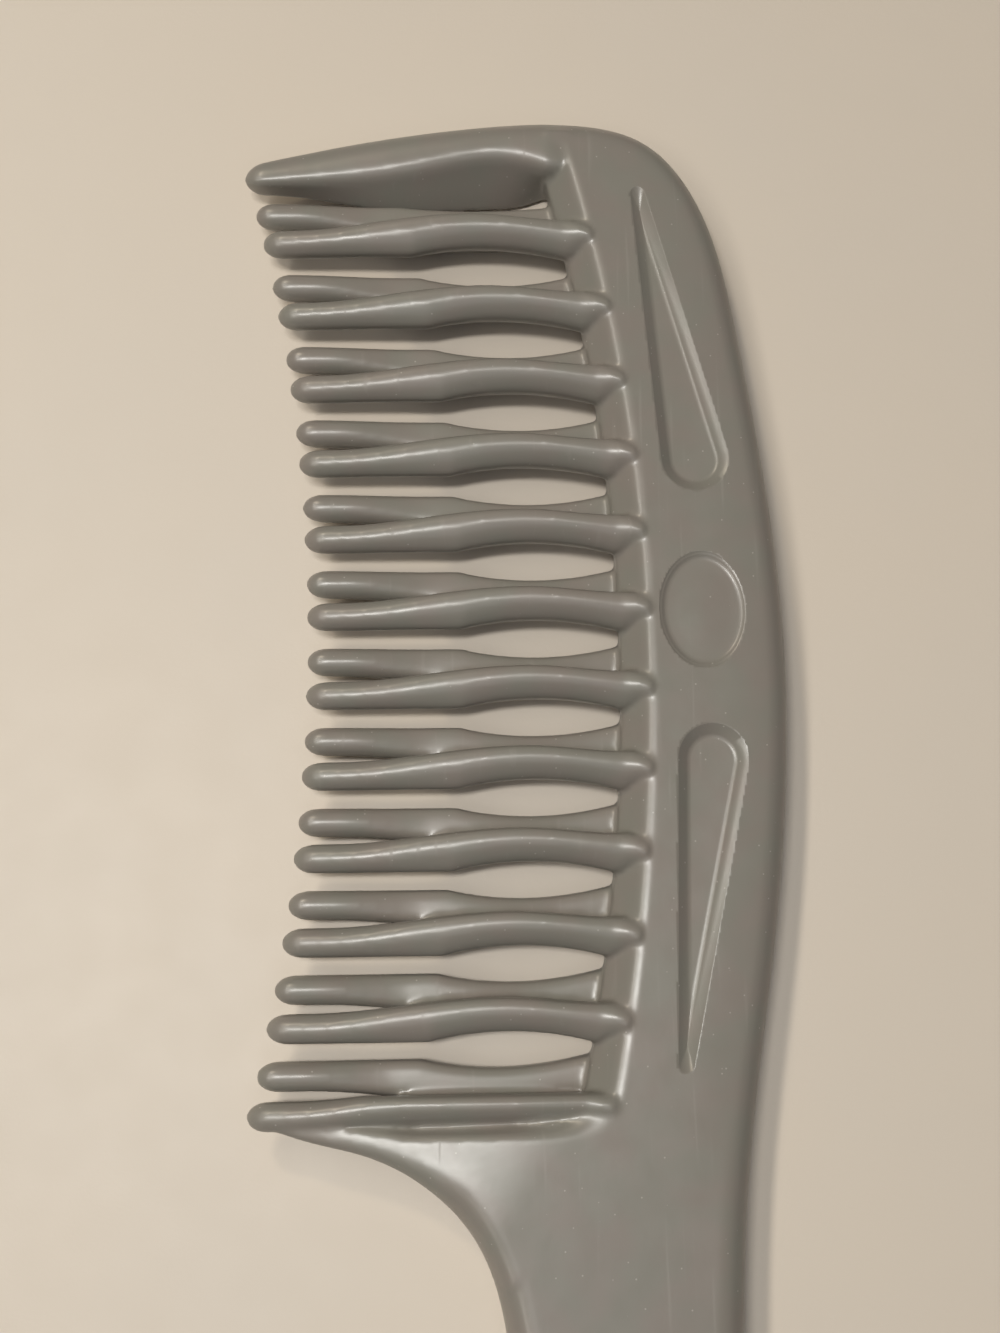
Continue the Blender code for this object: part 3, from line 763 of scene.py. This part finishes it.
def web_rings():
    """The web under the heel guard's ridge: a groove, a face that widens, and a wall that leans.

    Its widths are square to the ridge, so they are longer along a rib that slants, and they are
    squeezed where the web is narrow.
    """
    tip = tip_x(-HALF_HEAD)
    reach = heel_corner()[0] - tip
    neck = lower_place_y(NECK_Y)
    rings = []
    for along in even(WEB_START, reach + WEB_PAST_CORNER, WEB_STEPS):
        share = along / reach
        outer, inner = sides(HEEL, 1, along)
        near = Vector((tip + along, pair_y(HEEL) - (outer - inner) / 2))
        far = Vector(LOWER(neck * share ** WEB_FAN))
        way = far - near
        out = way.length
        slant = out / -way.y
        inward = min(share, 1)
        half = blend(GUARD_TIP_HALF, HALF, inward + inward ** 3 * (1 - inward))
        widen = slant * min(1, out / (GROOVE_ROOM * GROOVE_EDGE * slant))
        floor = half - GROOVE_DEPTH * swelling(share, GROOVE_GROWS, GROOVE_FADES)
        first = GROOVE_FLOOR * widen
        last = GROOVE_EDGE * widen
        lip = GROOVE_LIP_SHARE * (last - first)
        lean = WEB_LEAN * widen * swelling(share, WEB_LEAN_GROWS, WEB_LEAN_FADES)
        edge = min(EDGE_ROUND, WEB_EDGE_SHARE * out, WEB_EDGE_HEIGHT * half)
        section = [(0, floor), (first, floor)]
        section += round_corner((first, floor), (last, half), (out, half), lip)
        section += round_edge(out, half, edge)
        section += [(lean, -half), (0, -FUSED)]
        rings.append(stand(near, far, section))
    return rings


def handle_plate():
    """The grip, cut from its outline with the long edges rounded."""
    above = NECK_Y + 2 * EDGE_ROUND
    right = outer_place_y(above)
    left = lower_place_y(above)
    outline = [OUTER(place) for place in span(right, OUTER_LAST, GRIP_STEPS)][:-1]
    for angle in span(0, -math.pi, GRIP_END_STEPS):
        outline.append((HANDLE_END_X + END_RADIUS * math.cos(angle),
                        END_CENTRE_Y + END_RADIUS * math.sin(angle)))
    outline += [LOWER(place) for place in even(LOWER_LAST, left, GRIP_STEPS)]
    plate = bmesh.new()
    base = plate.faces.new([plate.verts.new((x, y, -HALF)) for x, y in outline])
    grown = bmesh.ops.extrude_face_region(plate, geom=[base])["geom"]
    raised = [part for part in grown if isinstance(part, bmesh.types.BMVert)]
    bmesh.ops.translate(plate, verts=raised, vec=(0, 0, THICKNESS))
    rims = [edge for edge in plate.edges if abs(edge.verts[0].co.z - edge.verts[1].co.z) < HALF]
    bmesh.ops.bevel(plate, geom=rims, offset=EDGE_ROUND, segments=EDGE_STEPS, profile=0.5,
                    affect="EDGES", material=-1)
    cut = bmesh.ops.bisect_plane(plate, geom=plate.verts[:] + plate.edges[:] + plate.faces[:],
                                 plane_co=(0, NECK_Y + NECK_RIM, 0), plane_no=(0, 1, 0),
                                 clear_outer=True)
    rim = [part for part in cut["geom_cut"] if isinstance(part, bmesh.types.BMEdge)]
    bmesh.ops.holes_fill(plate, edges=rim, sides=0)
    bmesh.ops.recalc_face_normals(plate, faces=plate.faces)
    return plate


# Scoops, oval and hang hole, as the tools that cut them

def teardrop(near, far, inset, up):
    """A scoop's outline at one height, moved in by inset: two arcs joined by their tangents."""
    big = SCOOP_ROUND_RADIUS - inset
    small = SCOOP_POINT_RADIUS - inset
    if small < SCOOP_LEAST_RADIUS:
        small = SCOOP_LEAST_RADIUS
        far = near.lerp(far, (big - small) / (SCOOP_ROUND_RADIUS - SCOOP_POINT_RADIUS))
    way = far - near
    heading = math.atan2(way.y, way.x)
    turn = math.acos(min((big - small) / way.length, 1))
    points = []
    for share in span(0, 1, SCOOP_ROUND_STEPS):
        angle = heading + blend(turn, math.tau - turn, share)
        points.append((near.x + big * math.cos(angle), near.y + big * math.sin(angle), up))
    for share in span(0, 1, SCOOP_POINT_STEPS):
        angle = heading + blend(-turn, turn, share)
        points.append((far.x + small * math.cos(angle), far.y + small * math.sin(angle), up))
    return points


def scoop_profile():
    """(inset, depth) from over the rim, down the slope and round its foot to the floor."""
    drop = (SCOOP_RIM + SCOOP_FOOT) * (1 - math.cos(SCOOP_SLOPE))
    slope = (SCOOP_DEPTH - drop) / math.sin(SCOOP_SLOPE)
    points = [(-TOOL_REACH, -TOOL_REACH)]
    for angle in span(0, SCOOP_SLOPE, SCOOP_RIM_STEPS):
        points.append((SCOOP_RIM * (math.sin(angle) - 0.5), SCOOP_RIM * (1 - math.cos(angle))))
    inset, depth = points[-1]
    inset += slope * math.cos(SCOOP_SLOPE)
    depth += slope * math.sin(SCOOP_SLOPE)
    for angle in span(SCOOP_SLOPE, 0, EDGE_STEPS):
        points.append((inset + SCOOP_FOOT * (math.sin(SCOOP_SLOPE) - math.sin(angle)),
                       depth + SCOOP_FOOT * (math.cos(angle) - math.cos(SCOOP_SLOPE))))
    return points


def scoop_rings(way, face):
    """One thumb scoop; way is 1 towards the toe and -1 towards the heel, face 1 in front."""
    near_y = SCOOP_MIDDLE_Y + way * SCOOP_NEAR
    far_y = SCOOP_MIDDLE_Y + way * SCOOP_FAR
    near = Vector((edge_x(near_y) + SCOOP_INSET, near_y))
    far = Vector((edge_x(far_y) + SCOOP_INSET, far_y))
    return [teardrop(near, far, inset, face * (HALF - depth)) for inset, depth in scoop_profile()]


def oval_rings():
    """A shallow plain oval with a soft rim and a slightly domed floor."""
    centre_x = edge_x(0) + OVAL_INSET
    rings = []
    for inset, depth in OVAL_PROFILE:
        ring = []
        for angle in even(0, math.tau, CIRCLE_STEPS):
            ring.append((centre_x + (OVAL_HALF_WIDTH - inset) * math.cos(angle),
                         (OVAL_HALF_HEIGHT - inset) * math.sin(angle), HALF - depth))
        rings.append(ring)
    return rings


def hang_hole_rings():
    """A round hole through the end of the handle, with rounded rims."""
    flare = arc(0, HALF - HANG_HOLE_ROUND, HANG_HOLE_ROUND, math.pi / 2, math.pi,
                HOLE_EDGE_STEPS)
    above = [(TOOL_REACH, HALF + TOOL_REACH)] + flare
    rings = []
    for out, up in above + [(out, -up) for out, up in reversed(above)]:
        radius = HANG_HOLE_RADIUS + HANG_HOLE_ROUND + out
        ring = []
        for angle in even(0, math.tau, CIRCLE_STEPS):
            ring.append((HANDLE_END_X + radius * math.cos(angle),
                         END_Y + HANG_HOLE_INSET + radius * math.sin(angle), up))
        rings.append(ring)
    return rings


# One skin, and its parting into pieces

def fused_skin():
    """All forms in one skin with rounded inner corners, and the scoops, oval and hole cut in."""
    forms = [stretch(tooth_rings(pair, row) + nose_rings(pair, row))
             for pair in range(1, HEEL + 1) for row in (1, -1)]
    forms += [stretch(rings) for rings in (spine_rings(), neck_rings(), toe_rings(), web_rings())]
    body = gather("comb_body", forms + [handle_plate()])
    tools = [stretch(scoop_rings(way, face)) for way in (1, -1) for face in (1, -1)]
    cutter = gather("cutting_tools", tools + [stretch(oval_rings()), stretch(hang_hole_rings())])
    fuse = body.modifiers.new("fuse", "REMESH")
    fuse.mode = "VOXEL"
    fuse.voxel_size = CELL
    fillet = body.modifiers.new("fillet", "SMOOTH")
    fillet.factor = 0.5
    fillet.iterations = FILLET_PASSES
    carve = body.modifiers.new("carve", "BOOLEAN")
    carve.operation = "DIFFERENCE"
    carve.solver = "MANIFOLD"
    carve.object = cutter
    graph = bpy.context.evaluated_depsgraph_get()
    skin = bpy.data.meshes.new_from_object(body.evaluated_get(graph))
    bpy.data.objects.remove(body)
    bpy.data.objects.remove(cutter)
    return skin


def root_parting(pair):
    """Point and direction of the parting at a pair's roots; the last one also cuts the web."""
    y = pair_y(pair)
    if pair < HEEL:
        return Vector((edge_x(y), y, 0)) - ROOT_STUB * edge_normal(y), edge_normal(y)
    top = y + outer_side(TOOTH_LENGTH)
    foot = Vector(LOWER(lower_place_y(NECK_Y + WEB_FOOT_RISE)))
    way = Vector((edge_x(top) - ROOT_STUB, top)) - foot
    return foot.to_3d(), Vector((way.y, -way.x, 0)).normalized()


ROOT_PARTINGS = {pair: root_parting(pair) for pair in range(1, HEEL + 1)}
TOE_CORNER_X = toe_corner()[0]


def root_side(pair, place):
    """How far a point is on the spine's side of the parting at a pair's roots."""
    point, way = ROOT_PARTINGS[pair]
    return (place - point).dot(way)


def toe_gap(x):
    """The line between the toe guard and the first rear tooth."""
    return TOE_GAP_Y + TOE_GAP_RISE * ease((x - TOE_CORNER_X + TOE_GAP_BEND) / TOE_GAP_BEND)


def turned(pair, place, way):
    """A point turned round its pair's centre line, so that the parting between the rows lies flat.

    That parting stands upright between the tips and lies nearly flat where the teeth cross.
    """
    along = place.x - tip_x(pair_y(pair))
    lie = HEEL_ROWS_LIE if pair == HEEL else ROWS_LIE
    turn = way * blend(math.pi / 2, lie, ease((along - ROWS_PART) / (CROSSING_DONE - ROWS_PART)))
    y = place.y - pair_y(pair)
    z = place.z - HALF
    return Vector((place.x, pair_y(pair) + y * math.cos(turn) + z * math.sin(turn),
                   HALF - y * math.sin(turn) + z * math.cos(turn)))


def strip(y):
    """Number of the pair whose strip of the comb a point is in."""
    return min(max(round((HALF_HEAD + PAIR_SPREAD - y) / PITCH), 1), HEEL)


def piece_at(place):
    """Name of the piece that a point of the comb belongs to."""
    if place.y < NECK_Y:
        return "handle"
    if place.x < TOE_CORNER_X and place.y > toe_gap(place.x):
        return "toe_guard"
    pair = strip(place.y)
    if root_side(pair, place) > 0:
        return "spine"
    if turned(pair, place, 1).z < HALF:
        return f"rear_tooth_{pair:02d}"
    return "heel_guard" if pair == HEEL else f"front_tooth_{pair:02d}"


def halve(skin, faces, point, way):
    """Part the skin where a plane cuts these faces, and close both sides."""
    parts = {edge for face in faces for edge in face.edges}
    parts |= {vert for face in faces for vert in face.verts}
    made = bmesh.ops.bisect_plane(skin, geom=list(faces) + list(parts), plane_co=point,
                                  plane_no=way)
    seam = [part for part in made["geom_cut"] if isinstance(part, bmesh.types.BMEdge)]
    bmesh.ops.split_edges(skin, edges=seam)
    faces = [part for part in made["geom"] if isinstance(part, bmesh.types.BMFace)]
    rims = {edge for face in faces for edge in face.edges if edge.is_boundary}
    caps = bmesh.ops.holes_fill(skin, edges=list(rims), sides=0)["faces"]
    return faces + bmesh.ops.triangulate(skin, faces=caps)["faces"]


def island(face):
    """All faces joined to a face."""
    found = {face}
    fresh = [face]
    while fresh:
        for edge in fresh.pop().edges:
            for other in edge.link_faces:
                if other not in found:
                    found.add(other)
                    fresh.append(other)
    return found


def part_rows(skin, pair, faces):
    """Part a pair's body along the twisted parting between its front and rear tooth."""
    for vert in {vert for face in faces for vert in face.verts}:
        vert.co = turned(pair, vert.co, 1)
    faces = halve(skin, faces, (0, 0, HALF), (0, 0, 1))
    for vert in {vert for face in faces for vert in face.verts}:
        vert.co = turned(pair, vert.co, -1)


def part_skin(mesh):
    """Part the skin into closed pieces, which keep its normals, so that no parting shows."""
    skin = bmesh.new()
    skin.from_mesh(mesh)
    moulded = skin.verts.layers.float_vector.new("moulded_normal")
    for vert in skin.verts:
        vert[moulded] = vert.normal
    neck, toe = [], []
    roots = {pair: [] for pair in ROOT_PARTINGS}
    for face in skin.faces:
        place = face.calc_center_median()
        if abs(place.y - NECK_Y) < PARTING_NEAR:
            neck.append(face)
        elif place.y > NECK_Y:
            if place.y > toe_gap(place.x):
                if abs(place.x - TOE_CORNER_X) < PARTING_NEAR:
                    toe.append(face)
            elif abs(root_side(strip(place.y), place)) < PARTING_NEAR:
                roots[strip(place.y)].append(face)
    halve(skin, neck, (0, NECK_Y, 0), (0, 1, 0))
    halve(skin, toe, (TOE_CORNER_X, 0, 0), (1, 0, 0))
    for pair, faces in roots.items():
        faces = halve(skin, faces, *ROOT_PARTINGS[pair])
        outer = next(face for face in faces if root_side(pair, face.calc_center_median()) < -CELL)
        part_rows(skin, pair, island(outer))
    for face in skin.faces:
        face.smooth = True
    skin.to_mesh(mesh)
    skin.free()
    whole = bpy.data.objects.new("comb", mesh)
    bpy.context.scene.collection.objects.link(whole)
    for thing in bpy.context.scene.objects:
        thing.select_set(thing == whole)
    bpy.context.view_layer.objects.active = whole
    bpy.ops.object.mode_set(mode="EDIT")
    bpy.ops.mesh.select_all(action="SELECT")
    bpy.ops.mesh.separate(type="LOOSE")
    bpy.ops.object.mode_set(mode="OBJECT")
    return list(bpy.context.selected_objects)


def finish_piece(thing, plastic):
    """Give a piece its name, the skin's normals and the plastic."""
    shape = bmesh.new()
    shape.from_mesh(thing.data)
    moulded = shape.verts.layers.float_vector["moulded_normal"]
    middle = sum((vert.co for vert in shape.verts), Vector()) / len(shape.verts)
    name = piece_at(middle)
    bmesh.ops.recalc_face_normals(shape, faces=shape.faces)
    normals = [vert[moulded].normalized() for vert in shape.verts]
    shape.verts.layers.float_vector.remove(moulded)
    shape.to_mesh(thing.data)
    shape.free()
    thing.data.materials.clear()
    thing.data.materials.append(plastic)
    thing.data.normals_split_custom_set_from_vertices(normals)
    thing.name = f"moulded_{name}"
    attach(thing, "root")
    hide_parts(name)


def srgb(code):
    """A hex sRGB colour as linear red, green and blue, with an alpha of 1."""
    parts = [int(code[i:i + 2], 16) / 255 for i in (1, 3, 5)]
    linear = [c / 12.92 if c <= 0.04045 else ((c + 0.055) / 1.055) ** 2.4 for c in parts]
    return (*linear, 1.0)


def node(tree, kind, links=(), **settings):
    """Add a node with properties or inputs as settings, and links as (input, source socket)."""
    made = tree.nodes.new(kind)
    for name, value in settings.items():
        if hasattr(made, name):
            setattr(made, name, value)
        else:
            made.inputs[name.replace("_", " ")].default_value = value
    for name, source in links:
        tree.links.new(source, made.inputs[name])
    return made


def per_metre(size):
    """Texture scale that gives features of a size in metres."""
    return 1 / size


def moulded_polystyrene():
    """Injection-moulded polystyrene: softly glossy grey, cooled unevenly and scuffed by use."""
    plastic = bpy.data.materials.new("moulded_polystyrene")
    plastic.use_nodes = True
    tree = plastic.node_tree
    shader = tree.nodes["Principled BSDF"]
    shader.inputs["IOR"].default_value = 1.59
    place = node(tree, "ShaderNodeTexCoord").outputs["Object"]

    # Clouds of 5 mm, where the melt ran together: the grey turns slightly warmer or greener
    clouds = node(tree, "ShaderNodeTexNoise", [("Vector", place)],
                  Scale=per_metre(0.005), Detail=1.5)
    spread = node(tree, "ShaderNodeMapRange", [("Value", clouds.outputs[0])],
                  From_Min=0.35, From_Max=0.65)
    grey = node(tree, "ShaderNodeMixRGB", [("Fac", spread.outputs[0])],
                Color1=srgb("#837c75"), Color2=srgb("#807d75"))

    # Pale specks of 0.2 mm about 4 mm apart, the finest that a picture can show: partly dust and
    # pits, partly painted glints
    dots = node(tree, "ShaderNodeTexVoronoi", [("Vector", place)], Scale=per_metre(0.0015))
    dust_and_glint_specks = node(tree, "ShaderNodeMapRange", [("Value", dots.outputs["Distance"])],
                  From_Min=0.075, From_Max=0.045, To_Max=0.55)
    # Mix the pale specks into the grey: dust, and painted glints that break the highlights into
    # sparkles
    dusted_and_glinting = node(tree, "ShaderNodeMixRGB",
                  [("Fac", dust_and_glint_specks.outputs[0]), ("Color1", grey.outputs[0])],
                  Color2=srgb("#b9b4ac"))

    # Scratches from handling: thin streaks mostly along the comb, drawn 0.15 mm wide to be seen
    lengthwise = node(tree, "ShaderNodeMapping", [("Vector", place)],
                      Rotation=(0, 0, math.radians(8)),
                      Scale=(per_metre(0.0006), per_metre(0.016), per_metre(0.0012)))
    streaks = node(tree, "ShaderNodeTexNoise", [("Vector", lengthwise.outputs[0])],
                   Scale=1, Detail=0, Distortion=0.3)
    scratches = node(tree, "ShaderNodeMapRange", [("Value", streaks.outputs[0])],
                     From_Min=0.72, From_Max=0.82, To_Max=0.10)
    scuffed = node(tree, "ShaderNodeMixRGB",
                   [("Fac", scratches.outputs[0]), ("Color1", dusted_and_glinting.outputs[0])],
                   Color2=srgb("#9a958e"))
    tree.links.new(scuffed.outputs[0], shader.inputs["Base Color"])

    # Gloss: patches of 3 mm where fingers dulled it, duller again in the scratches
    touched = node(tree, "ShaderNodeTexNoise", [("Vector", place)],
                   Scale=per_metre(0.003), Detail=3)
    gloss = node(tree, "ShaderNodeMapRange", [("Value", touched.outputs[0])],
                 From_Min=0.3, From_Max=0.7, To_Min=0.29, To_Max=0.36)
    dulled = node(tree, "ShaderNodeMath", [(0, gloss.outputs[0]), (1, scratches.outputs[0])],
                  operation="ADD")
    tree.links.new(dulled.outputs[0], shader.inputs["Roughness"])

    # Relief: the skin sinks unevenly as it cools, in ripples of 0.9 mm and a few micrometres
    ripples = node(tree, "ShaderNodeTexNoise", [("Vector", place)],
                   Scale=per_metre(0.0009), Detail=2)
    rippled = node(tree, "ShaderNodeBump", [("Height", ripples.outputs[0])],
                   Strength=1, Distance=0.000006)
    tree.links.new(rippled.outputs[0], shader.inputs["Normal"])
    return plastic


def pale_laminate():
    """Pale laminate table top: warm off-white print under a satin coat with a fine grain."""
    top = bpy.data.materials.new("pale_laminate")
    top.use_nodes = True
    tree = top.node_tree
    shader = tree.nodes["Principled BSDF"]
    place = node(tree, "ShaderNodeTexCoord").outputs["Object"]

    # Print: broad clouds of 45 mm in the off-white
    clouds = node(tree, "ShaderNodeTexNoise", [("Vector", place)],
                  Scale=per_metre(0.045), Detail=3)
    tint = node(tree, "ShaderNodeMixRGB", [("Fac", clouds.outputs[0])],
                Color1=srgb("#d1c5b6"), Color2=srgb("#cdc4b9"))
    tree.links.new(tint.outputs[0], shader.inputs["Base Color"])

    # Coat: a satin sheen that varies over 6 mm, and a pressed grain of 0.5 mm
    coat = node(tree, "ShaderNodeTexNoise", [("Vector", place)], Scale=per_metre(0.006), Detail=2)
    sheen = node(tree, "ShaderNodeMapRange", [("Value", coat.outputs[0])],
                 To_Min=0.44, To_Max=0.58)
    tree.links.new(sheen.outputs[0], shader.inputs["Roughness"])
    grain = node(tree, "ShaderNodeTexNoise", [("Vector", place)],
                 Scale=per_metre(0.0005), Detail=1)
    pressed = node(tree, "ShaderNodeBump", [("Height", grain.outputs[0])],
                   Strength=1, Distance=0.000012)
    tree.links.new(pressed.outputs[0], shader.inputs["Normal"])
    return top


def table(lowest):
    """The table top, just under the comb."""
    shape = bmesh.new()
    bmesh.ops.create_grid(shape, x_segments=1, y_segments=1, size=TABLE_REACH)
    bmesh.ops.translate(shape, verts=shape.verts, vec=(0, 0, lowest))
    top = to_object("table_top", shape)
    top.data.materials.append(pale_laminate())


def lamp(name, place, width, length, power, colour):
    """A soft area lamp that faces the head; its length lies along its tilt, its width across."""
    light = bpy.data.lights.new(name, "AREA")
    light.shape = "RECTANGLE"
    light.size = width
    light.size_y = length
    light.energy = power
    light.color = srgb(colour)[:3]
    thing = bpy.data.objects.new(name, light)
    thing.location = place
    tilt = thing.location - Vector((HANDLE_X, 0, HALF))
    thing.rotation_euler = tilt.to_track_quat("Z", "Y").to_euler()
    bpy.context.scene.collection.objects.link(thing)


def studio_light():
    """Four lamps and a dim room, as the photograph's highlights and shadows ask for."""
    # Above the camera and compact: crisp shadows in the gaps and lines along the crests
    lamp("overhead", place=(-0.14, -0.03, 0.55), width=0.05, length=0.16, power=1.6,
         colour="#fffdf8")
    # From beyond the toe: the shadow below the heel guard
    lamp("key", place=(-0.60, 0.90, 1.10), width=0.16, length=0.16, power=3.6,
         colour="#ffefd4")
    # A long strip beside the comb, on the teeth's side: the lit brow along the spine
    lamp("side", place=(-0.47, 0.05, 0.75), width=0.90, length=0.08, power=2.9,
         colour="#fffaf0")
    # From beyond the handle's end: a cool fill
    lamp("window", place=(-0.03, -0.28, 0.48), width=0.25, length=0.25, power=0.18,
         colour="#f4f8ff")
    room = bpy.data.worlds.new("room")
    room.use_nodes = True
    background = room.node_tree.nodes["Background"]
    background.inputs["Color"].default_value = srgb("#f2f5fa")
    background.inputs["Strength"].default_value = 0.05
    bpy.context.scene.world = room


def camera():
    """The photograph's viewpoint, over the comb and a little towards its handle."""
    lens = bpy.data.cameras.new("camera")
    lens.lens = CAMERA_LENS
    lens.sensor_width = CAMERA_SENSOR
    lens.clip_start = CAMERA_NEAR
    eye = bpy.data.objects.new("camera", lens)
    eye.location = CAMERA_PLACE
    eye.rotation_euler = [math.radians(turn) for turn in CAMERA_TURN]
    bpy.context.scene.collection.objects.link(eye)
    bpy.context.scene.camera = eye


def main():
    bpy.context.scene.view_settings.view_transform = "Standard"
    camera()
    table(CAD_BOX[0].z)
    studio_light()
    plastic = moulded_polystyrene()
    for thing in part_skin(fused_skin()):
        finish_piece(thing, plastic)


main()
